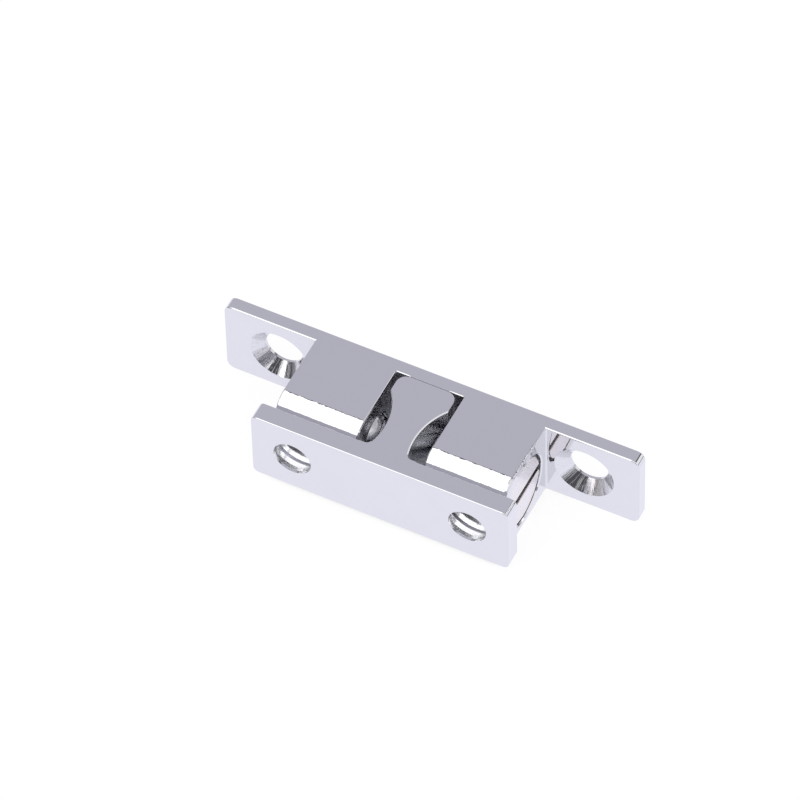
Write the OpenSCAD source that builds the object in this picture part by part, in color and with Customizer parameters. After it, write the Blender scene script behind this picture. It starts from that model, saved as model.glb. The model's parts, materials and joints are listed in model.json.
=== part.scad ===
// Double ball catch: a one-piece body with two sprung balls, and a strike whose waisted tongue they grip.
// +X runs along the plates, +Y points to the face that is screwed down, +Z is up.
// The origin is under the middle of the part, on the surface it stands on.

/* [Body plate] */
// Length of the body's mounting plate
plate_length = 50; // [47:0.5:60]
// Height of the body, bottom face to top face
body_height = 10.5; // [10:0.1:13]
// Thickness of the mounting plate
plate_thickness = 1.6; // [1.2:0.1:3]
// Corner radius of the mounting plate, seen from the front
plate_corner_r = 1; // [0.5:0.1:2]
// Rounding along the edges of the mounting plate and of the lobes' ends
edge_r = 0.15; // [0.1:0.05:0.4]

/* [Lobes] */
// Length of each lobe along the plate
lobe_length = 9.85; // [9.5:0.05:11.5]
// How far the lobes stand out from the mounting plate
lobe_depth = 9.9; // [9.4:0.1:11]
// Radius of the lobes' long front edges
lobe_front_r = 2.4; // [1:0.1:3]
// Fillet between each lobe's end and the mounting plate
lobe_root_r = 0.25; // [0.1:0.05:0.5]
// Width of the slot between the lobes
slot_width = 8; // [7.6:0.1:9]
// Chamfer along the slot's long edges
slot_edge = 0.15; // [0.05:0.05:0.3]

/* [Strike] */
// Length of the strike's plate
strike_length = 30.8; // [29.5:0.1:36]
// Height of the strike, whose top face is level with the body's
strike_height = 9.5; // [8.5:0.1:10]
// Thickness of the strike's plate
strike_thickness = 2.2; // [1.7:0.1:3]
// Corner radius of the strike's plate, seen from the front
strike_corner_r = 0.7; // [0.5:0.1:1.5]
// Rounding along the edges of the strike's plate
strike_edge_r = 0.1; // [0.05:0.05:0.4]
// Gap between the lobes and the strike's plate when shut
strike_gap = 0.2; // [0.1:0.1:1.5]

/* [Tongue] */
// Width of the tongue's head
tongue_width = 6.9; // [6.6:0.05:7.2]
// Width of the tongue at its waist
waist_width = 3.75; // [3.2:0.05:4.2]
// Distance of the waist from the back of the strike's plate
waist_offset = 2.7; // [2.4:0.1:3.2]
// Radius of the tongue's hollow flanks
flank_r = 8.2; // [7.6:0.1:9]
// Radius of the two corners at the tongue's tip
tip_r = 1.2; // [0.6:0.1:1.4]
// Fillet where the tongue meets the strike's plate
root_r = 0.6; // [0.3:0.1:0.8]
// Rounding along the edges of the tongue's head
tongue_edge_r = 0.05; // [0.05:0.05:0.3]
// Chamfer along the edges of the hollow flanks
flank_edge = 0.12; // [0.05:0.01:0.3]
// Gap between the tongue's tip and the bottom of the slot
tip_gap = 0.02; // [0.02:0.02:0.5]

/* [Fixing holes] */
// Diameter of the screw holes
hole_d = 4.5; // [3.5:0.1:5]
// Diameter of the countersinks
sink_d = 7.1; // [6:0.1:7.4]
// Length of the straight wall left at the bottom of the countersinks
hole_land = 0.3; // [0.2:0.05:0.6]
// Distance between the two holes of the mounting plate
plate_hole_spacing = 36.9; // [36.5:0.1:40]
// Distance between the two holes of the strike
strike_hole_spacing = 21; // [17.5:0.1:21.5]

/* [Balls and bores] */
// Diameter of the balls
ball_d = 6; // [5.6:0.05:6.2]
// Wall left between each bore's thread and the lobe's front
front_wall = 0.35; // [0.3:0.05:0.8]
// Clearance all round a ball in its guide bore
ball_clearance = 0.05; // [0.03:0.01:0.1]
// Gap between a ball and the tongue when shut
ball_rest_gap = 0.1; // [0.05:0.01:0.15]
// Thickness of the lip that keeps a ball in its bore
lip_thickness = 0.4; // [0.3:0.05:0.5]
// How much smaller the opening in the lip is than the ball
lip_overlap = 0.3; // [0.2:0.05:0.4]

/* [Adjusting screws and springs] */
// Outside diameter of the adjusting screws
screw_d = 8.7; // [8:0.1:9]
// Length of the adjusting screws
screw_length = 2.3; // [1.8:0.1:2.5]
// Length of the threaded part of each bore
thread_length = 3.7; // [3.2:0.1:4.2]
// How far the screws lie inside the lobes' ends
screw_recess = 0.15; // [0:0.05:0.4]
// Clearance all round a screw in its bore
screw_clearance = 0.04; // [0.02:0.01:0.08]
// Chamfer at the outer rim of a screw
screw_chamfer = 0.25; // [0.1:0.05:0.6]
// Chamfer at the mouth of each bore
mouth_chamfer = 0.15; // [0.05:0.05:0.25]
// Width of the screwdriver slot
driver_slot_width = 1; // [0.6:0.1:1.4]
// Depth of the screwdriver slot
driver_slot_depth = 0.9; // [0.6:0.1:1.4]
// Diameter of the spring wire
wire_d = 0.4; // [0.3:0.05:0.5]
// Diameter of the springs, middle of the wire to middle of the wire
spring_d = 3.6; // [3:0.1:4.2]
// Turns of each spring
spring_turns = 3; // [2:0.5:4]
// Clearance between a spring and what it bears on
spring_clearance = 0.02; // [0.01:0.01:0.05]

/* [Hidden] */

$fn = 96;
// Overlap that makes cuts run cleanly past a face, and joins run into one
over = 0.5;
left = -1;
right = 1;
steel = "Gainsboro";
warm_nickel = [0.84, 0.80, 0.78];

// Places along Y, from the mounting face to the front of the strike
total_depth = plate_thickness + lobe_depth + strike_gap + strike_thickness;
rear_y = total_depth / 2;
plate_front_y = rear_y - plate_thickness;
lobe_front_y = plate_front_y - lobe_depth;
strike_back_y = lobe_front_y - strike_gap;
strike_front_y = strike_back_y - strike_thickness;
tongue_tip_y = plate_front_y - tip_gap;
waist_y = strike_back_y + waist_offset;
bore_y = lobe_front_y + front_wall + screw_d / 2;

// Places along Z
bore_z = body_height / 2;
strike_z = body_height - strike_height / 2;

// Places along X, on the right-hand side
slot_half = slot_width / 2;
lobe_end_x = slot_half + lobe_length;
thread_x = lobe_end_x - thread_length;
screw_face_x = lobe_end_x - screw_recess;
screw_back_x = screw_face_x - screw_length;

// Both plates take the same countersink, sunk as deep as leaves a straight wall in each
sink_depth = plate_thickness - hole_land;

// The flank is an arc about this point, and the root fillet touches it and the strike's plate
flank_x = waist_width / 2 + flank_r;
fillet_y = strike_back_y + root_r;
fillet_x = flank_x - sqrt(pow(flank_r - root_r, 2) - pow(waist_y - fillet_y, 2));

// A ball at rest touches the flank, short of its clearance
ball_r = ball_d / 2;
ball_reach = sqrt(pow(flank_r - ball_r - ball_rest_gap, 2) - pow(bore_y - waist_y, 2));
ball_x = flank_x - ball_reach;

// A spring bears on the ball's back and on the screw
wire_r = wire_d / 2;
spring_r = spring_d / 2;
spring_start_x = ball_x + sqrt(pow(ball_r + wire_r + spring_clearance, 2) - pow(spring_r, 2));
spring_end_x = screw_back_x - wire_r - spring_clearance;
// Share of the height that the flat first and last half turns take
closed_turns = 0.5;
wire_sides = 10;
steps_per_turn = 24;

// Square with round corners, about its middle
module soft_square(width, height, radius) {
    square([width - 2 * radius, height], center = true);
    square([width, height - 2 * radius], center = true);
    for (x = [-1, 1], y = [-1, 1])
        translate([x * (width / 2 - radius), y * (height / 2 - radius)]) circle(radius);
}

// Disc about Z with round rims
module soft_disc(radius, thickness, rim) {
    rotate_extrude() intersection() {
        soft_square(2 * radius, thickness, rim);
        translate([0, -thickness]) square([radius + over, 2 * thickness]);
    }
}

// Plate in the XY plane with round corners and round rims all the way round
module soft_plate(width, height, thickness, corner, rim) {
    rotate([90, 0, 90]) linear_extrude(width - 2 * corner, center = true) soft_square(height, thickness, rim);
    rotate([90, 0, 0]) linear_extrude(height - 2 * corner, center = true) soft_square(width, thickness, rim);
    for (x = [-1, 1], y = [-1, 1])
        translate([x * (width / 2 - corner), y * (height / 2 - corner), 0]) soft_disc(corner, thickness, rim);
}

// Both lobes before the slot is cut: one block, flat above and below, with a long round edge at the front
module lobe_block() {
    length = 2 * lobe_end_x;
    flat_depth = lobe_depth - lobe_front_r;
    translate([0, plate_front_y, 0]) {
        translate([0, over, body_height / 2]) rotate([90, 0, 0])
            linear_extrude(flat_depth + over) soft_square(length, body_height, edge_r);
        translate([0, (over - lobe_depth) / 2, lobe_front_r]) linear_extrude(body_height - 2 * lobe_front_r)
            soft_square(length, lobe_depth + over, edge_r);
        for (z = [lobe_front_r, body_height - lobe_front_r])
            translate([0, -flat_depth, z]) rotate([0, 90, 0]) soft_disc(lobe_front_r, length, edge_r);
    }
}

// Fillet in the corner between a lobe's end and the mounting plate
module lobe_root(side) {
    translate([side * lobe_end_x, plate_front_y, edge_r]) linear_extrude(body_height - 2 * edge_r)
        scale([side, -1]) difference() {
            translate([-edge_r, -edge_r]) square(lobe_root_r + edge_r);
            translate([lobe_root_r, lobe_root_r]) circle(lobe_root_r);
        }
}

// Stepped bore of one lobe: thread, ball guide, and a lip at the slot
module ball_bore(side) {
    lip_r = (ball_d - lip_overlap) / 2;
    guide_r = ball_r + ball_clearance;
    screw_r = screw_d / 2;
    translate([0, bore_y, bore_z]) rotate([0, side * 90, 0]) {
        translate([0, 0, slot_half - over]) cylinder(r = lip_r, h = lobe_length);
        translate([0, 0, slot_half + lip_thickness]) cylinder(r = guide_r, h = lobe_length);
        translate([0, 0, thread_x]) cylinder(r = screw_r, h = thread_length + over);
        translate([0, 0, lobe_end_x - mouth_chamfer])
            cylinder(r1 = screw_r, r2 = screw_r + 2 * mouth_chamfer, h = 2 * mouth_chamfer);
    }
}

// Screw hole along Y, countersunk on the side it faces: -1 for the front, 1 for the back
module screw_hole(face_y, thickness, facing) {
    start = thickness - hole_land - sink_depth;
    slope = (sink_d - hole_d) / 2 / sink_depth;
    translate([0, face_y, 0]) rotate([facing * 90, 0, 0]) {
        translate([0, 0, -over]) cylinder(d = hole_d, h = thickness + 2 * over);
        if (start > 0) {
            translate([0, 0, -over]) cylinder(d = sink_d, h = start + over);
            translate([0, 0, start]) cylinder(d1 = sink_d, d2 = hole_d, h = sink_depth);
        } else {
            translate([0, 0, -over]) cylinder(d1 = sink_d + 2 * slope * over, d2 = hole_d, h = sink_depth + over);
        }
    }
}

// Chamfer along one long side of the slot, above and below, which follows the lobe's round front
module slot_edge_cut(side) {
    reach = slot_half + slot_edge;
    inner = slot_half - over;
    flat_depth = lobe_depth - lobe_front_r;
    translate([0, plate_front_y, 0]) rotate([90, 0, 0]) linear_extrude(flat_depth) {
        polygon([[side * inner, body_height - slot_edge - over], [side * (reach + over), body_height + over],
                 [side * inner, body_height + over]]);
        polygon([[side * inner, slot_edge + over], [side * (reach + over), -over], [side * inner, -over]]);
    }
    for (end = [-1, 1])
        translate([0, plate_front_y - flat_depth, body_height / 2 + end * (body_height / 2 - lobe_front_r)])
            intersection() {
                rotate([0, side * 90, 0]) difference() {
                    translate([0, 0, inner]) cylinder(r = lobe_front_r + over, h = reach - inner);
                    translate([0, 0, inner])
                        cylinder(r1 = lobe_front_r - slot_edge - over, r2 = lobe_front_r, h = reach - inner);
                }
                scale([side, -1, end]) cube([reach + over, lobe_front_r + 2 * over, lobe_front_r + 2 * over]);
            }
}

module body() {
    color(steel) difference() {
        union() {
            translate([0, rear_y - plate_thickness / 2, body_height / 2]) rotate([90, 0, 0])
                soft_plate(plate_length, body_height, plate_thickness, plate_corner_r, edge_r);
            lobe_block();
            lobe_root(left);
            lobe_root(right);
        }
        translate([-slot_half, lobe_front_y - over, -over])
            cube([slot_width, lobe_depth + over, body_height + 2 * over]);
        for (side = [left, right]) {
            slot_edge_cut(side);
            ball_bore(side);
            translate([side * plate_hole_spacing / 2, 0, body_height / 2])
                screw_hole(plate_front_y, plate_thickness, -1);
        }
    }
}

// Space beside the tongue on the right: the hollow flank with its eased edges, and the root fillet
module flank_cut() {
    flank_centre = [flank_x, waist_y];
    fillet_centre = [fillet_x, fillet_y];
    beyond = flank_centre + 2 * (fillet_centre - flank_centre);
    bottom_z = body_height - strike_height;
    intersection() {
        translate([flank_x, waist_y, 0]) {
            translate([0, 0, bottom_z - over]) cylinder(r = flank_r, h = strike_height + 2 * over);
            translate([0, 0, body_height - flank_edge])
                cylinder(r1 = flank_r, r2 = flank_r + 2 * flank_edge, h = 2 * flank_edge);
            translate([0, 0, bottom_z - flank_edge])
                cylinder(r1 = flank_r + 2 * flank_edge, r2 = flank_r, h = 2 * flank_edge);
        }
        translate([0, 0, bottom_z - over]) linear_extrude(strike_height + 2 * over)
            polygon([flank_centre, beyond, [beyond[0], tongue_tip_y + over], [flank_x, tongue_tip_y + over]]);
    }
    translate([0, 0, bottom_z - over]) linear_extrude(strike_height + 2 * over) {
        translate(fillet_centre) circle(root_r);
        polygon([flank_centre + [0, over], fillet_centre, [fillet_x, strike_back_y], [flank_x, strike_back_y]]);
    }
}

module strike() {
    // The tongue's block runs into the plate, past the round corners of its own root end
    tongue_length = tongue_tip_y - strike_back_y;
    block_length = tongue_length + tip_r;
    color(steel) difference() {
        union() {
            translate([0, strike_back_y - strike_thickness / 2, strike_z]) rotate([90, 0, 0])
                soft_plate(strike_length, strike_height, strike_thickness, strike_corner_r, strike_edge_r);
            difference() {
                translate([0, tongue_tip_y - block_length / 2, strike_z])
                    soft_plate(tongue_width, block_length, strike_height, tip_r, tongue_edge_r);
                flank_cut();
                mirror([1, 0, 0]) flank_cut();
            }
        }
        for (side = [left, right])
            translate([side * strike_hole_spacing / 2, 0, strike_z])
                screw_hole(strike_back_y, strike_thickness, 1);
    }
}

module ball(side) {
    color("Silver") translate([side * ball_x, bore_y, bore_z]) sphere(ball_r);
}

// Axial share of the spring's length at a share of its turns: flat, then even coils, then flat
function coil_rise(t) =
    let (flat = closed_turns / spring_turns, flat_rise = closed_turns * wire_d / (spring_end_x - spring_start_x))
    t < flat ? flat_rise * t / flat
    : t > 1 - flat ? 1 - flat_rise * (1 - t) / flat
    : flat_rise + (1 - 2 * flat_rise) * (t - flat) / (1 - 2 * flat);

// Point on the wire's surface: t along the coil, a round the wire
function coil_point(t, a) =
    let (turn = 360 * spring_turns * t, reach = spring_r + wire_r * cos(a))
    [spring_start_x + coil_rise(t) * (spring_end_x - spring_start_x) + wire_r * sin(a),
     reach * cos(turn), reach * sin(turn)];

// Coil spring on the ball's axis, as a tube swept along its helix
module spring(side) {
    rings = steps_per_turn * spring_turns;
    points = [for (i = [0 : rings], j = [0 : wire_sides - 1]) coil_point(i / rings, 360 * j / wire_sides)];
    walls = [for (i = [0 : rings - 1], j = [0 : wire_sides - 1])
        let (k = (j + 1) % wire_sides, a = i * wire_sides, b = a + wire_sides)
        [a + j, a + k, b + k, b + j]];
    first_cap = [[for (j = [wire_sides - 1 : -1 : 0]) j]];
    last_cap = [[for (j = [0 : wire_sides - 1]) rings * wire_sides + j]];
    color("DarkGray") translate([0, bore_y, bore_z]) mirror([side == left ? 1 : 0, 0, 0])
        polyhedron(points, concat(walls, first_cap, last_cap), convexity = 6);
}

// Headless slotted screw that closes a bore and sets the spring's pressure
module adjusting_screw(side) {
    outer_r = screw_d / 2 - screw_clearance;
    color(warm_nickel) translate([0, bore_y, bore_z]) rotate([0, side * 90, 0]) difference() {
        translate([0, 0, screw_back_x]) union() {
            cylinder(r = outer_r, h = screw_length - screw_chamfer);
            translate([0, 0, screw_length - screw_chamfer])
                cylinder(r1 = outer_r, r2 = outer_r - screw_chamfer, h = screw_chamfer);
        }
        translate([-driver_slot_width / 2, -screw_d, screw_face_x - driver_slot_depth])
            cube([driver_slot_width, 2 * screw_d, driver_slot_depth + over]);
    }
}

body();
strike();
ball(left);  // ball_left
ball(right);  // ball_right
spring(left);  // spring_left
spring(right);  // spring_right
adjusting_screw(left);  // adjusting_screw_left
adjusting_screw(right);  // adjusting_screw_right
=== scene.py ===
import json
import math

import bmesh
import bpy
from mathutils import Matrix, Vector

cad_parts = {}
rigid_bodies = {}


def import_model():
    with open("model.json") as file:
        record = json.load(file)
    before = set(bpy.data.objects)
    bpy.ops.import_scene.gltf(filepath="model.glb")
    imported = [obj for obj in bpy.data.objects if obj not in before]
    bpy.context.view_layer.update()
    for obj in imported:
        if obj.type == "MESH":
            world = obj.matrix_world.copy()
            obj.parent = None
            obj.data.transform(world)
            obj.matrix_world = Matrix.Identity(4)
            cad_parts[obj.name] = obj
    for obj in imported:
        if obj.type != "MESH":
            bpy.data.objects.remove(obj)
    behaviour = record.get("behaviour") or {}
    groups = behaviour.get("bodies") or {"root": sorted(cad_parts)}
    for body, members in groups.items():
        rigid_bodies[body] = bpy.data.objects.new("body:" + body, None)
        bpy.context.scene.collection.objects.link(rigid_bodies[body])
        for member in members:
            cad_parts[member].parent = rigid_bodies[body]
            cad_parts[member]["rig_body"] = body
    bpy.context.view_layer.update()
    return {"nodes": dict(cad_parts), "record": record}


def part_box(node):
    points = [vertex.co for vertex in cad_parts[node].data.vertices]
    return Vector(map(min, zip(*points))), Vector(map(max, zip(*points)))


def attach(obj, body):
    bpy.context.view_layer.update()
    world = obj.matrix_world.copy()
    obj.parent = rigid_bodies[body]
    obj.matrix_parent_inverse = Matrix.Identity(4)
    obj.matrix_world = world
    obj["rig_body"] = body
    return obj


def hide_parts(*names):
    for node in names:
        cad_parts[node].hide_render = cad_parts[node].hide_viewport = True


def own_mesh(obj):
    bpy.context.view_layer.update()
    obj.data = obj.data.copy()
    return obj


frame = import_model()

# A chromed double ball catch, shut, standing on the long edge of its plates.
# All lengths are metres in the frame's own axes: X along the plates, Y to the body's back, Z up.
# The edge of a mask is a pair: its place, and the width over which the mask changes.
# A noise is its scale, then its detail, then its roughness.

MM = 0.001
NODES = frame["nodes"]
MOUNTS = {mount["name"]: mount for mount in frame["record"]["mounts"]}
SIDES = {"left": -1, "right": 1}

# Camera, fitted to the edges of the two plates
IMAGE_PIXELS = 800
SENSOR = 36.0
CAMERA_AZIMUTH = 27.863
CAMERA_ELEVATION = 51.824
CAMERA_ROLL = -1.596
CAMERA_DISTANCE = 0.82231
CAMERA_TARGET = Vector((-2.7363, 3.5765, 8.2483)) * MM
PIXELS_PER_METRE = 9272.4

# Colours of the studio
STUDIO_LOW = (0.32, 0.32, 0.34, 1)
STUDIO_HIGH = (0.80, 0.80, 0.83, 1)
STUDIO_DARK = (0.09, 0.09, 0.10, 1)
STUDIO_WALL = (0.555, 0.545, 0.63, 1)
STUDIO_RIGHT = (1.0, 1.0, 1.02, 1)
STUDIO_STRIP = (2.4, 2.4, 2.42, 1)
STUDIO_WHITE = (1.6, 1.6, 1.62, 1)
STUDIO_CARD = (2.4, 2.4, 2.42, 1)
CAMERA_WHITE = (1, 1, 1, 1)

# Edges in the studio, on the parts of the unit vector towards the surroundings
RISE = (0.42, 0.6)
FRONT = (-0.73, 0.06)
DARK_FRONT_LOW = (0.17, 0.06)
DARK_SPLIT = (-0.36, 0.1)
DARK_LEFT_FRONT = (-0.56, 0.12)
DARK_LEFT_HIGH = (0.5, 0.1)
GAP_FRONT = (0.43, 0.02)
WALL_FRONT = (0.47, 0.02)
WALL_LEFT = (-0.9, 0.06)
WALL_RIGHT = (0.46, 0.06)
WALL_LOW = (0.03, 0.04)
RIGHT_SIDE = (0.62, 0.03)
RIGHT_FRONT = (-0.5, 0.1)
RIGHT_LOW = (0.1, 0.04)
STRIP_LEFT = (-0.48, 0.05)
STRIP_LOW = (0.40, 0.06)
TOP_LOW = (0.63, 0.06)
TOP_BACK = (-0.25, 0.1)
BAND_LEFT = (-0.36, 0.06)
BAND_RIGHT = (-0.235, 0.02)
BAND_LOW = (0.27, 0.04)

# A light card near the part, at the front right
CARD_CORNERS = [
    Vector((32, -44, 34.5)) * MM,
    Vector((60, -44, 24)) * MM,
    Vector((64, -44, 42)) * MM,
    Vector((36, -44, 48)) * MM,
]
SECOND_REFLECTION = (1.5, 0.2)

# Floor
FLOOR_RADIUS = 1.2
FLOOR_SIDES = 96
FLOOR_COLOUR = (0.9, 0.9, 0.905, 1)
FLOOR_GLOW_SHARE = 0.85
FLOOR_GLOW = 1.06
FLOOR_MIRRORED = (0.95, 0.95, 1.06, 1)
FLOOR_SHADE_REACH = 10 * MM
FLOOR_SHADE_SAMPLES = 8
FLOOR_SHADE_OPEN = 0.24
FLOOR_SHADE_MIRRORED_OPEN = 0.12
FLOOR_SHADE_SHUT = 0.02
FLOOR_SHADE_LEAST = 0.16

# Sizes of the real piece that the frame's boxes do not give
PLATE_THICKNESS = 1.6 * MM
STRIKE_THICKNESS = 2.2 * MM
SINK_RADIUS = 3.55 * MM
SLOT_HALF = 4.0 * MM
LOBE_END = 13.85 * MM
LOBE_FRONT = -4.55 * MM
LOBE_FRONT_RADIUS = 2.4 * MM

# Adjusting screws
SCREW_PITCH = 0.75 * MM
SCREW_CHAMFER = 0.25 * MM
SCREW_RINGS = 61
SCREW_AROUND = 120
SCREW_SHARP_DEGREES = 30
THREAD_DEPTH = 0.42 * MM
THREAD_CREST = 0.12
THREAD_FLANK = 0.72
FACE_RADIUS = 4.06 * MM
DRIVER_WIDTH = 1.0 * MM
DRIVER_DEPTH = 0.9 * MM
DRIVER_EASE = 0.07 * MM
DRIVER_ABOVE = 0.3 * MM
DRIVER_REACH = 6 * MM

# Springs
WIRE_DIAMETER = 0.4 * MM
WIRE_AROUND = 14
SPRING_TURNS = 3
SPRING_CLOSED_TURNS = 0.5
SPRING_RINGS_PER_TURN = 48
SPRING_SHARP_DEGREES = 50

# Places that the frame gives
BODY_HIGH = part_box("body")[1]
STRIKE_LOW, STRIKE_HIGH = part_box("strike")
SCREW_LOW, SCREW_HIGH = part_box("adjusting_screw_right")
SCREW_CENTRE = (SCREW_LOW + SCREW_HIGH) / 2
PLATE_FRONT = BODY_HIGH.y - PLATE_THICKNESS
STRIKE_BACK = STRIKE_LOW.y + STRIKE_THICKNESS

# Countersinks: where they begin and end along Y, and their finish
SINK_MARGIN = 0.05 * MM
BODY_SINKS = (PLATE_FRONT - SINK_MARGIN, BODY_HIGH.y - SINK_MARGIN)
STRIKE_SINKS = (STRIKE_LOW.y + SINK_MARGIN, STRIKE_BACK + SINK_MARGIN)
SINK_SOFT = 0.02 * MM
SINK_ROUGHNESS = 0.22
# Painted light: the strike's even countersinks, behind its holes, are painted lighter than the chrome
SINK_PAINTED_LIGHT = (0.94, 0.94, 0.95, 1)
STREAK_NOISE = (18.0, 3.0, 0.6)
STREAK_CHANGE = 30.0
STREAK_HEIGHT = 0.9e-5
STREAK_EDGE = (0.55, 0.05)
STREAK_ROUGHNESS = (0.04, 0.30)

# Chrome
CHROME = (0.785, 0.785, 0.80, 1)
CHROME_HAZE = (0.755, 0.755, 0.77, 1)
HAZE_NOISE = (260.0, 4.0, 0.6)
HAZE_SHARE = 0.8
HAZE_EDGE = (0.55, 0.3)
HAZE_ROUGHNESS = (0.03, 0.065)
RIPPLE_NOISE = (950.0, 2.0)
RIPPLE_HEIGHT = 5e-6
FINE_RIPPLE_NOISE = (2000.0, 2.0)
FINE_RIPPLE_HEIGHT = 1.4e-5
FACING_UP = (0.7, 0.2)
FACING_SIDE = (0.5, 0.1)
NEAR_TOP = (8 * MM, 0.2 * MM)

# Chrome that is worn round along an edge
WORN_RADIUS = 0.35 * MM
WORN_END = 0.2 * MM
WORN_END_START = 1.6
WORN_END_BACK = (2.5 * MM, 3 * MM)
WORN_SLOT_END = 0.16 * MM
WORN_SLOT_INNER = (2.4 * MM, 0.8 * MM)
WORN_SLOT_OUTER = (SLOT_HALF + 0.05 * MM, 0.1 * MM)

# Chrome in the recesses, where the polishing wheel does not reach
SLOT_SIDE = (SLOT_HALF + 0.05 * MM, 0.02 * MM)
SLOT_END = (PLATE_FRONT + 0.2 * MM, 0.1 * MM)
SLOT_ROUGHNESS = 0.2
# Painted light: the slot's walls are painted lighter than the chrome, lifting the shade in that narrow gap
SLOT_PAINTED_LIGHT = (0.89, 0.89, 0.90, 1)
SLOT_NOISE = (600.0, 1.0)
SLOT_RIPPLE_HEIGHT = 4e-5
LOBE_FRONT_EDGE = (LOBE_FRONT + 0.3 * MM, 0.4 * MM)
LOBE_FRONT_ROUGHNESS = 0.1
LOBE_ROUND_EDGE = (LOBE_FRONT + LOBE_FRONT_RADIUS, 0.6 * MM)
TONGUE_START = (STRIKE_BACK + 0.1 * MM, 0.1 * MM)
TONGUE_ROUGHNESS = 0.17

# Steel
BALL_STEEL = (0.72, 0.72, 0.74, 1)
BALL_ROUGHNESS = (0.03, 0.09)
BALL_NOISE = (1200.0, 4.0, 0.6)
SPRING_STEEL = (0.45, 0.45, 0.47, 1)
SPRING_ROUGHNESS = (0.2, 0.36)
SPRING_NOISE = (3000.0, 4.0, 0.6)
STEEL_SPOT_SHADE = 0.85

# Nickel
NICKEL = (0.90, 0.862, 0.855, 1)
NICKEL_SPOTS = (0.84, 0.80, 0.80, 1)
NICKEL_NOISE = (900.0, 4.0, 0.6)
NICKEL_ROUGHNESS = (0.2, 0.34)
RINGS_PER_METRE = 9000.0
RING_NOISE = (1.0, 2.0)
RING_HEIGHT = 3e-6
# Painted shade at the screw's rim, where it meets the bore, and on the walls of the screwdriver slot
JOINT_PAINTED_SHADE = (0.10, 0.095, 0.09, 1)
RIM_NOISE = (900.0, 3.0)
RIM_RAGGED = 0.3 * MM
RIM_EDGE = (FACE_RADIUS + 0.12 * MM, 0.05 * MM)
DRIVER_SIDE = (DRIVER_WIDTH / 2 + 0.02 * MM, 0.02 * MM)
DRIVER_INSIDE = (0.15 * MM, 0.2 * MM)
DRIVER_PAINTED_SHADE = 0.4

# Reflections that follow one another in the narrow gaps
GLOSSY_BOUNCES = 12


class Shade:
    """Builds one shader tree."""

    def __init__(self, tree):
        self.tree = tree
        tree.nodes.clear()

    def feed(self, socket, value):
        """Links a socket to another one, or sets its value."""
        if isinstance(value, bpy.types.NodeSocket):
            self.tree.links.new(value, socket)
        else:
            socket.default_value = value

    def node(self, kind, inputs=None, **settings):
        """Adds a node, sets its properties, and feeds its inputs with values or with other outputs."""
        node = self.tree.nodes.new(kind)
        for name, value in settings.items():
            setattr(node, name, value)
        for key, value in (inputs or {}).items():
            self.feed(node.inputs[key], value)
        return node

    def math(self, operation, first, second=0.0):
        return self.node("ShaderNodeMath", {0: first, 1: second}, operation=operation).outputs[0]

    def length(self, first, second):
        """Length of a vector of two parts."""
        squares = self.math("ADD", self.math("POWER", first, 2.0), self.math("POWER", second, 2.0))
        return self.math("SQRT", squares)

    def split(self, vector):
        """The three parts of a vector."""
        parts = self.node("ShaderNodeSeparateXYZ", {"Vector": vector}).outputs
        return parts["X"], parts["Y"], parts["Z"]

    def place(self):
        """The shaded point in the frame."""
        return self.node("ShaderNodeTexCoord").outputs["Object"]

    def step(self, value, edge):
        """0 below the edge and 1 above it, with a soft change."""
        middle, soft = edge
        inputs = {"Value": value, "From Min": middle - soft / 2, "From Max": middle + soft / 2}
        return self.node("ShaderNodeMapRange", inputs, interpolation_type="SMOOTHSTEP").outputs[0]

    def fall(self, value, edge):
        """1 below the edge and 0 above it, with a soft change."""
        return self.math("SUBTRACT", 1.0, self.step(value, edge))

    def product(self, first, *others):
        """The product of masks and numbers."""
        for other in others:
            first = self.math("MULTIPLY", first, other)
        return first

    def mix(self, factor, first, second):
        """Mixes two colours."""
        node = self.node("ShaderNodeMix", data_type="RGBA")
        for socket, value in zip((node.inputs[0], node.inputs[6], node.inputs[7]), (factor, first, second)):
            self.feed(socket, value)
        return node.outputs[2]

    def blend(self, factor, first, second):
        """Mixes two numbers."""
        node = self.node("ShaderNodeMix", {0: factor, 2: first, 3: second}, data_type="FLOAT")
        return node.outputs[0]

    def noise(self, vector, scale, detail=2.0, roughness=0.5):
        inputs = {"Vector": vector, "Scale": scale, "Detail": detail, "Roughness": roughness}
        return self.node("ShaderNodeTexNoise", inputs).outputs["Fac"]

    def bump(self, height):
        """The normal of a surface with this height, in metres."""
        return self.node("ShaderNodeBump", {"Height": height, "Strength": 1.0, "Distance": 1.0}).outputs[0]

    def metal(self, colour, roughness, **inputs):
        """The shader of a bare metal."""
        values = {"Base Color": colour, "Metallic": 1.0, "Roughness": roughness, **inputs}
        return self.node("ShaderNodeBsdfPrincipled", values)

    def finish(self, shader, kind="ShaderNodeOutputMaterial"):
        """Makes a shader the output of the tree."""
        output = self.node(kind)
        self.tree.links.new(shader.outputs[0], output.inputs["Surface"])


def new_material(name):
    material = bpy.data.materials.new(name)
    material.use_nodes = True
    return material, Shade(material.node_tree)


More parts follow.
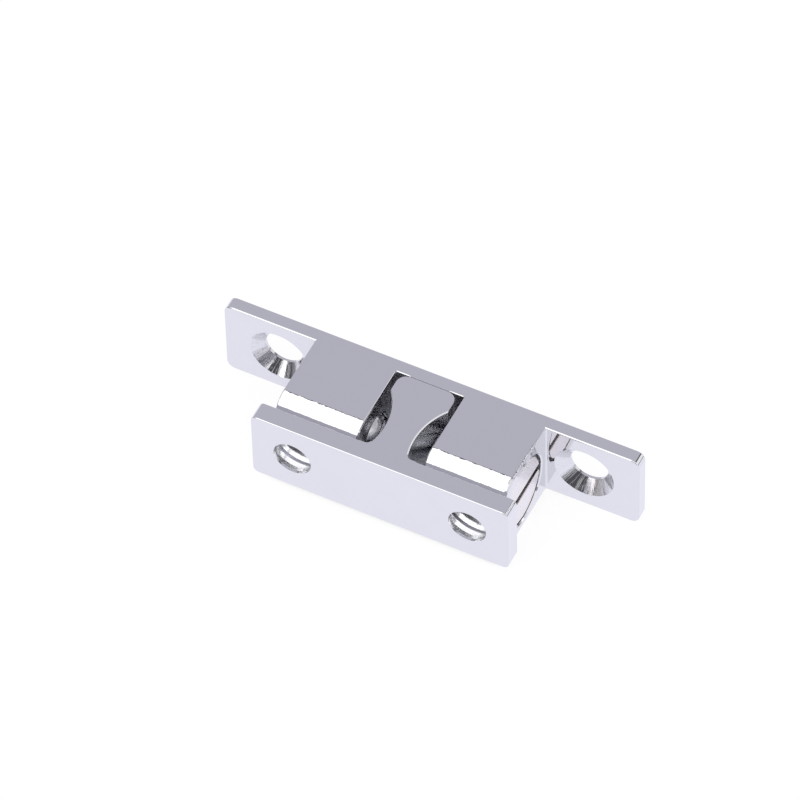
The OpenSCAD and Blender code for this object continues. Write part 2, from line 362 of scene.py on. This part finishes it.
def make_world():
    """A studio that grows lighter upwards.

    It is dark at the front and the left, with a grey wall behind and a light on the right. White light comes from
    above the front, from a band over the part and from a brighter strip at the lower end of that band.
    """
    world = bpy.data.worlds.new("studio")
    bpy.context.scene.world = world
    world.use_nodes = True
    shade = Shade(world.node_tree)
    x, y, z = shade.split(shade.node("ShaderNodeTexCoord").outputs["Generated"])
    dark_front = (shade.fall(y, FRONT), shade.step(x, DARK_SPLIT), shade.step(z, DARK_FRONT_LOW))
    dark_left = (shade.fall(y, DARK_LEFT_FRONT), shade.fall(x, DARK_SPLIT), shade.fall(z, DARK_LEFT_HIGH))
    gap = (shade.step(y, GAP_FRONT),)
    wall = (shade.step(y, WALL_FRONT), shade.step(x, WALL_LEFT), shade.fall(x, WALL_RIGHT), shade.step(z, WALL_LOW))
    right = (shade.step(x, RIGHT_SIDE), shade.step(y, RIGHT_FRONT), shade.step(z, RIGHT_LOW))
    strip = (shade.step(x, STRIP_LEFT), shade.fall(x, BAND_RIGHT), shade.fall(y, FRONT), shade.step(z, STRIP_LOW))
    top = (shade.step(z, TOP_LOW), shade.fall(y, TOP_BACK))
    band = (shade.step(x, BAND_LEFT), shade.fall(x, BAND_RIGHT), shade.fall(y, GAP_FRONT), shade.step(z, BAND_LOW))
    seen = (shade.node("ShaderNodeLightPath").outputs["Is Camera Ray"],)
    layers = (
        (dark_front, STUDIO_DARK),
        (dark_left, STUDIO_DARK),
        (gap, STUDIO_DARK),
        (wall, STUDIO_WALL),
        (right, STUDIO_RIGHT),
        (strip, STUDIO_STRIP),
        (top, STUDIO_WHITE),
        (band, STUDIO_WHITE),
        (seen, CAMERA_WHITE),
    )
    colour = shade.mix(shade.step(z, RISE), STUDIO_LOW, STUDIO_HIGH)
    for masks, layer in layers:
        colour = shade.mix(shade.product(*masks), colour, layer)
    background = shade.node("ShaderNodeBackground", {"Color": colour, "Strength": 1.0})
    shade.finish(background, "ShaderNodeOutputWorld")


def make_card():
    """A small light card that shows only in reflections of reflections, so that no flat face mirrors it."""
    mesh = bpy.data.meshes.new("light_card")
    mesh.from_pydata(CARD_CORNERS, [], [tuple(range(len(CARD_CORNERS)))])
    card = bpy.data.objects.new("light_card", mesh)
    bpy.context.scene.collection.objects.link(card)
    material, shade = new_material("card_light")
    deep = shade.step(shade.node("ShaderNodeLightPath").outputs["Ray Depth"], SECOND_REFLECTION)
    light = shade.node("ShaderNodeEmission", {"Color": STUDIO_CARD, "Strength": 1.0})
    clear = shade.node("ShaderNodeBsdfTransparent")
    shade.finish(shade.node("ShaderNodeMixShader", {0: deep, 1: clear.outputs[0], 2: light.outputs[0]}))
    mesh.materials.append(material)
    card.visible_camera = False
    card.visible_diffuse = False
    card.visible_shadow = False


def make_floor():
    """A plain pale disc under the part, white to the camera and to mirrors, shaded where the part stands."""
    bpy.ops.mesh.primitive_circle_add(vertices=FLOOR_SIDES, radius=FLOOR_RADIUS, fill_type="NGON")
    floor = bpy.context.object
    floor.name = "floor"
    material, shade = new_material("floor_white")
    path = shade.node("ShaderNodeLightPath").outputs
    seen = shade.math("MAXIMUM", path["Is Camera Ray"], path["Is Glossy Ray"])
    seen = shade.math("MAXIMUM", seen, path["Is Transmission Ray"])
    shadow = shade.node(
        "ShaderNodeAmbientOcclusion", {"Distance": FLOOR_SHADE_REACH}, samples=FLOOR_SHADE_SAMPLES)
    full = shade.blend(path["Is Camera Ray"], FLOOR_SHADE_MIRRORED_OPEN, FLOOR_SHADE_OPEN)
    light = shade.node("ShaderNodeMapRange", {
        "Value": shadow.outputs["AO"],
        "From Min": FLOOR_SHADE_SHUT,
        "From Max": full,
        "To Min": FLOOR_SHADE_LEAST,
    }).outputs[0]
    colour = shade.mix(path["Is Camera Ray"], FLOOR_MIRRORED, CAMERA_WHITE)
    strength = shade.math("MULTIPLY", light, FLOOR_GLOW)
    glow = shade.node("ShaderNodeEmission", {"Color": colour, "Strength": strength})
    diffuse = shade.node("ShaderNodeBsdfDiffuse", {"Color": FLOOR_COLOUR})
    share = shade.math("MULTIPLY", seen, FLOOR_GLOW_SHARE)
    shade.finish(shade.node("ShaderNodeMixShader", {0: share, 1: diffuse.outputs[0], 2: glow.outputs[0]}))
    floor.data.materials.append(material)


def make_camera():
    """The camera at the photograph's viewing angle."""
    azimuth = math.radians(CAMERA_AZIMUTH)
    elevation = math.radians(CAMERA_ELEVATION)
    roll = math.radians(CAMERA_ROLL)
    right = Vector((math.cos(azimuth), math.sin(azimuth), 0))
    back = Vector((
        math.sin(azimuth) * math.cos(elevation),
        -math.cos(azimuth) * math.cos(elevation),
        math.sin(elevation),
    ))
    up = back.cross(right)
    image_x = math.cos(roll) * right + math.sin(roll) * up
    image_y = back.cross(image_x)
    data = bpy.data.cameras.new("camera")
    data.sensor_width = SENSOR
    data.lens = PIXELS_PER_METRE * CAMERA_DISTANCE * SENSOR / IMAGE_PIXELS
    camera = bpy.data.objects.new("camera", data)
    bpy.context.scene.collection.objects.link(camera)
    turn = Matrix((image_x, image_y, back)).transposed()
    camera.matrix_world = Matrix.Translation(CAMERA_TARGET + CAMERA_DISTANCE * back) @ turn.to_4x4()
    bpy.context.scene.camera = camera


class Chrome:
    """One chrome plating in the making: slightly wavy, and hazy in places."""

    def __init__(self, name):
        self.material, self.shade = new_material(name)
        shade = self.shade
        place = shade.place()
        self.place = place
        self.x, self.y, self.z = shade.split(place)
        self.off_middle = shade.math("ABSOLUTE", self.x)
        self.up = shade.split(shade.node("ShaderNodeNewGeometry").outputs["Normal"])[2]
        self.upright = shade.fall(shade.math("ABSOLUTE", self.up), FACING_SIDE)
        self.fine_ripple = shade.noise(place, *FINE_RIPPLE_NOISE)
        haze = shade.noise(place, *HAZE_NOISE)
        self.colour = shade.mix(shade.math("MULTIPLY", haze, HAZE_SHARE), CHROME, CHROME_HAZE)
        self.roughness = shade.blend(shade.step(haze, HAZE_EDGE), *HAZE_ROUGHNESS)
        self.height = shade.math("MULTIPLY", shade.noise(place, *RIPPLE_NOISE), RIPPLE_HEIGHT)

    def paint(self, mask, colour):
        self.colour = self.shade.mix(mask, self.colour, colour)

    def roughen(self, mask, roughness):
        self.roughness = self.shade.blend(mask, self.roughness, roughness)

    def raise_by(self, *factors):
        self.height = self.shade.math("ADD", self.height, self.shade.product(*factors))

    def round_off(self, mask, past):
        """Rounds an edge off where the mask is 1. past is how far a point lies past the start of the rounding."""
        square = self.shade.math("POWER", self.shade.math("MAXIMUM", past, 0.0), 2.0)
        drop = self.shade.product(square, mask, 0.5 / WORN_RADIUS)
        self.height = self.shade.math("SUBTRACT", self.height, drop)

    def finish_sinks(self, mount, sink_y, streaked):
        """Finishes the countersinks, either streaked by their tool, or even and painted lighter as painted light.

        mount is the record's pattern of screw holes, and sink_y the places along Y between which the sinks lie.
        """
        shade = self.shade
        low, high = sink_y
        across = shade.math("SUBTRACT", self.off_middle, mount["dims"]["spacing_x_mm"] * MM / 2)
        along = shade.math("SUBTRACT", self.z, mount["pos_m"][2])
        radius = shade.length(across, along)
        at_sink = shade.product(
            shade.fall(radius, (SINK_RADIUS, SINK_SOFT)),
            shade.step(self.y, (low, SINK_SOFT)),
            shade.fall(self.y, (high, SINK_SOFT)),
        )
        if not streaked:
            self.roughen(at_sink, SINK_ROUGHNESS)
            # Painted light: the even countersinks are painted lighter than the chrome
            self.paint(at_sink, SINK_PAINTED_LIGHT)
            return
        spoke = shade.node("ShaderNodeCombineXYZ", {
            0: shade.math("DIVIDE", across, radius),
            1: shade.math("DIVIDE", along, radius),
            2: shade.math("MULTIPLY", radius, STREAK_CHANGE),
        }).outputs[0]
        streaks = shade.noise(spoke, *STREAK_NOISE)
        self.raise_by(at_sink, streaks, STREAK_HEIGHT)
        self.roughen(at_sink, shade.blend(shade.step(streaks, STREAK_EDGE), *STREAK_ROUGHNESS))

    def wear_right_end(self, end_x):
        """Wears the right end of the top round, along a ragged line."""
        shade = self.shade
        past = shade.math("SUBTRACT", self.x, end_x - WORN_END_START * WORN_END)
        past = shade.math("ADD", past, shade.math("MULTIPLY", self.fine_ripple, WORN_END))
        on_top = shade.product(
            shade.step(self.up, FACING_UP), shade.fall(self.y, WORN_END_BACK), shade.step(self.z, NEAR_TOP))
        self.round_off(on_top, past)

    def wear_slot_end(self):
        """Wears the edge at the slot's end round, on both sides of the tongue's tip."""
        shade = self.shade
        beside_tip = shade.product(
            shade.step(self.off_middle, WORN_SLOT_INNER),
            shade.fall(self.off_middle, WORN_SLOT_OUTER),
            shade.step(self.up, FACING_UP),
            shade.step(self.z, NEAR_TOP),
        )
        self.round_off(beside_tip, shade.math("SUBTRACT", PLATE_FRONT + WORN_SLOT_END, self.y))

    def done(self):
        shade = self.shade
        shade.finish(shade.metal(self.colour, self.roughness, Normal=shade.bump(self.height)))
        return self.material


def make_body_chrome():
    """The body: satin walls in the slot, painted lighter as painted light in that shaded gap, duller fronts of the
    lobes, and ragged polish round those fronts.
    """
    chrome = Chrome("body_chrome")
    shade = chrome.shade
    in_slot = shade.product(shade.fall(chrome.off_middle, SLOT_SIDE), shade.fall(chrome.y, SLOT_END), chrome.upright)
    chrome.finish_sinks(MOUNTS["body_screw_holes"], BODY_SINKS, streaked=True)
    chrome.roughen(in_slot, SLOT_ROUGHNESS)
    # Painted light: the slot's walls are painted lighter to lift the shade in the gap
    chrome.paint(in_slot, SLOT_PAINTED_LIGHT)
    chrome.raise_by(in_slot, shade.noise(chrome.place, *SLOT_NOISE), SLOT_RIPPLE_HEIGHT)
    chrome.roughen(shade.fall(chrome.y, LOBE_FRONT_EDGE), LOBE_FRONT_ROUGHNESS)
    chrome.raise_by(shade.fall(chrome.y, LOBE_ROUND_EDGE), chrome.fine_ripple, FINE_RIPPLE_HEIGHT)
    chrome.wear_right_end(LOBE_END)
    chrome.wear_slot_end()
    return chrome.done()


def make_strike_chrome():
    """The strike: recesses behind its holes painted lighter as painted light, and satin walls of the tongue."""
    chrome = Chrome("strike_chrome")
    shade = chrome.shade
    chrome.finish_sinks(MOUNTS["strike_screw_holes"], STRIKE_SINKS, streaked=False)
    chrome.roughen(shade.product(shade.step(chrome.y, TONGUE_START), chrome.upright), TONGUE_ROUGHNESS)
    chrome.wear_right_end(STRIKE_HIGH.x)
    return chrome.done()


def make_steel(name, colour, roughness, noise):
    """Plain steel whose gloss varies a little from place to place."""
    material, shade = new_material(name)
    spots = shade.noise(shade.place(), *noise)
    darker = tuple(STEEL_SPOT_SHADE * part for part in colour[:3]) + (1,)
    shade.finish(shade.metal(shade.mix(spots, colour, darker), shade.blend(spots, *roughness)))
    return material


def make_nickel(name):
    """Turned nickel with fine rings about the screws' axis, with painted shade at the rim and in the screwdriver
    slot.
    """
    material, shade = new_material(name)
    place = shade.place()
    x, y, z = shade.split(place)
    across = shade.math("SUBTRACT", y, SCREW_CENTRE.y)
    along = shade.math("SUBTRACT", z, SCREW_CENTRE.z)
    radius = shade.length(across, along)
    ring = shade.node("ShaderNodeCombineXYZ", {0: shade.math("MULTIPLY", radius, RINGS_PER_METRE)}).outputs[0]
    rings = shade.noise(ring, *RING_NOISE)
    spots = shade.noise(place, *NICKEL_NOISE)
    ragged = shade.math("MULTIPLY", shade.noise(place, *RIM_NOISE), RIM_RAGGED)
    at_rim = shade.step(shade.math("ADD", radius, ragged), RIM_EDGE)
    depth = shade.math("SUBTRACT", SCREW_HIGH.x, shade.math("ABSOLUTE", x))
    in_driver = shade.product(
        shade.fall(shade.math("ABSOLUTE", along), DRIVER_SIDE), shade.step(depth, DRIVER_INSIDE), DRIVER_PAINTED_SHADE)
    # Painted shade: darker at the rim against the bore and inside the screwdriver slot
    painted_shade = shade.math("MAXIMUM", at_rim, in_driver)
    colour = shade.mix(painted_shade, shade.mix(spots, NICKEL, NICKEL_SPOTS), JOINT_PAINTED_SHADE)
    bump = shade.bump(shade.math("MULTIPLY", rings, RING_HEIGHT))
    shade.finish(shade.metal(colour, shade.blend(spots, *NICKEL_ROUGHNESS), Normal=bump))
    return material


def dress(node, material):
    """Gives a CAD node its material."""
    NODES[node].data.materials.clear()
    NODES[node].data.materials.append(material)


def closed_object(name, vertices, faces):
    """An object with a closed mesh whose faces look outwards."""
    mesh = bpy.data.meshes.new(name)
    mesh.from_pydata(vertices, [], faces)
    closed = bpy.data.objects.new(name, mesh)
    bpy.context.scene.collection.objects.link(closed)
    edit = bmesh.new()
    edit.from_mesh(mesh)
    bmesh.ops.recalc_face_normals(edit, faces=edit.faces)
    edit.to_mesh(mesh)
    edit.free()
    return closed


def new_piece(name, vertices, faces, material, node):
    """A closed mesh that stands for a CAD node and moves with that node's body."""
    piece = closed_object(name, vertices, faces)
    piece.data.materials.append(material)
    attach(piece, NODES[node]["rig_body"])
    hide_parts(node)
    return piece


def tube_faces(rings, around):
    """Faces of a closed tube of rings, with a cap at each end."""
    faces = []
    for i in range(rings - 1):
        for j in range(around):
            k = (j + 1) % around
            faces.append((i * around + j, i * around + k, (i + 1) * around + k, (i + 1) * around + j))
    faces.append(tuple(range(around)))
    faces.append(tuple((rings - 1) * around + j for j in range(around)))
    return faces


def smooth_by_angle(piece, degrees):
    """Shades a piece smooth, apart from its sharp edges."""
    piece.data.shade_smooth()
    sharp = math.radians(degrees)
    edit = bmesh.new()
    edit.from_mesh(piece.data)
    for edge in edit.edges:
        edge.smooth = len(edge.link_faces) == 2 and edge.calc_face_angle(0) < sharp
    edit.to_mesh(piece.data)
    edit.free()


def thread_radius(turn, place, length, major):
    """Radius of a screw at a share of a turn and a place along it, within its thread and end chamfers."""
    phase = (place / SCREW_PITCH - turn) % 1.0
    slope = abs(2 * phase - 1)
    depth = THREAD_DEPTH * min(max((slope - THREAD_CREST) / THREAD_FLANK, 0.0), 1.0)
    chamfer = major - SCREW_CHAMFER + min(place, length - place)
    return min(major - depth, chamfer)


def driver_cutter(side, face_x, centre):
    """A prism with the section of the screwdriver slot, its edges eased at the top."""
    half, ease = DRIVER_WIDTH / 2, DRIVER_EASE
    section = [
        (-half + ease, -DRIVER_DEPTH),
        (half - ease, -DRIVER_DEPTH),
        (half, -DRIVER_DEPTH + ease),
        (half, -ease),
        (half + ease, 0),
        (half + ease, DRIVER_ABOVE),
        (-half - ease, DRIVER_ABOVE),
        (-half - ease, 0),
        (-half, -ease),
        (-half, -DRIVER_DEPTH + ease),
    ]
    vertices = [
        (face_x + side * out, centre.y + end * DRIVER_REACH, centre.z + across)
        for end in (-1, 1) for across, out in section
    ]
    return closed_object("driver_cutter", vertices, tube_faces(2, len(section)))


def make_screw(label, side, material):
    """A headless screw with its thread, chamfers and screwdriver slot."""
    node = "adjusting_screw_" + label
    low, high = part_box(node)
    centre = (low + high) / 2
    length = high.x - low.x
    major = (high.y - low.y) / 2
    face_x = high.x if side > 0 else low.x
    vertices = []
    for i in range(SCREW_RINGS):
        place = length * i / (SCREW_RINGS - 1)
        for j in range(SCREW_AROUND):
            turn = j / SCREW_AROUND
            radius = thread_radius(turn, place, length, major)
            angle = 2 * math.pi * turn
            vertices.append((
                face_x - side * (length - place),
                centre.y + radius * math.cos(angle),
                centre.z + radius * math.sin(angle),
            ))
    faces = tube_faces(SCREW_RINGS, SCREW_AROUND)
    screw = new_piece("screw_" + label, vertices, faces, material, node)
    cutter = driver_cutter(side, face_x, centre)
    cut = screw.modifiers.new("driver_slot", "BOOLEAN")
    cut.operation = "DIFFERENCE"
    cut.solver = "EXACT"
    cut.object = cutter
    with bpy.context.temp_override(object=screw, active_object=screw):
        bpy.ops.object.modifier_apply(modifier=cut.name)
    bpy.data.objects.remove(cutter)
    smooth_by_angle(screw, SCREW_SHARP_DEGREES)


def coil_rise(share, length):
    """Share of the spring's length at a share of its turns: closed, then even coils, then closed."""
    flat = SPRING_CLOSED_TURNS / SPRING_TURNS
    flat_rise = SPRING_CLOSED_TURNS * WIRE_DIAMETER / length
    if share < flat:
        return flat_rise * share / flat
    if share > 1 - flat:
        return 1 - flat_rise * (1 - share) / flat
    return flat_rise + (1 - 2 * flat_rise) * (share - flat) / (1 - 2 * flat)


def make_spring(label, side, material):
    """A coil of round wire between the ball and the screw."""
    node = "spring_" + label
    low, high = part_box(node)
    centre = (low + high) / 2
    wire = WIRE_DIAMETER / 2
    coil = (high.z - low.z) / 2 - wire
    ball_end = low.x + wire if side > 0 else high.x - wire
    total = high.x - low.x
    length = total - 2 * wire
    rings = SPRING_RINGS_PER_TURN * SPRING_TURNS + 1
    vertices = []
    for i in range(rings):
        share = i / (rings - 1)
        turn = 2 * math.pi * SPRING_TURNS * share
        rise = coil_rise(share, length) * length
        for j in range(WIRE_AROUND):
            angle = 2 * math.pi * j / WIRE_AROUND
            reach = coil + wire * math.cos(angle)
            vertices.append((
                ball_end + side * (rise + wire * math.sin(angle)),
                centre.y + reach * math.cos(turn),
                centre.z + reach * math.sin(turn),
            ))
    spring = new_piece("coil_" + label, vertices, tube_faces(rings, WIRE_AROUND), material, node)
    smooth_by_angle(spring, SPRING_SHARP_DEGREES)
    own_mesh(spring)


make_world()
make_card()
make_floor()
make_camera()

ball_steel = make_steel("ball_steel", BALL_STEEL, BALL_ROUGHNESS, BALL_NOISE)
spring_steel = make_steel("spring_steel", SPRING_STEEL, SPRING_ROUGHNESS, SPRING_NOISE)
screw_nickel = make_nickel("screw_nickel")

dress("body", make_body_chrome())
dress("strike", make_strike_chrome())
for label, side in SIDES.items():
    dress("ball_" + label, ball_steel)
    make_spring(label, side, spring_steel)
    make_screw(label, side, screw_nickel)

bpy.context.scene.cycles.glossy_bounces = GLOSSY_BOUNCES
bpy.context.scene.view_settings.view_transform = "Standard"
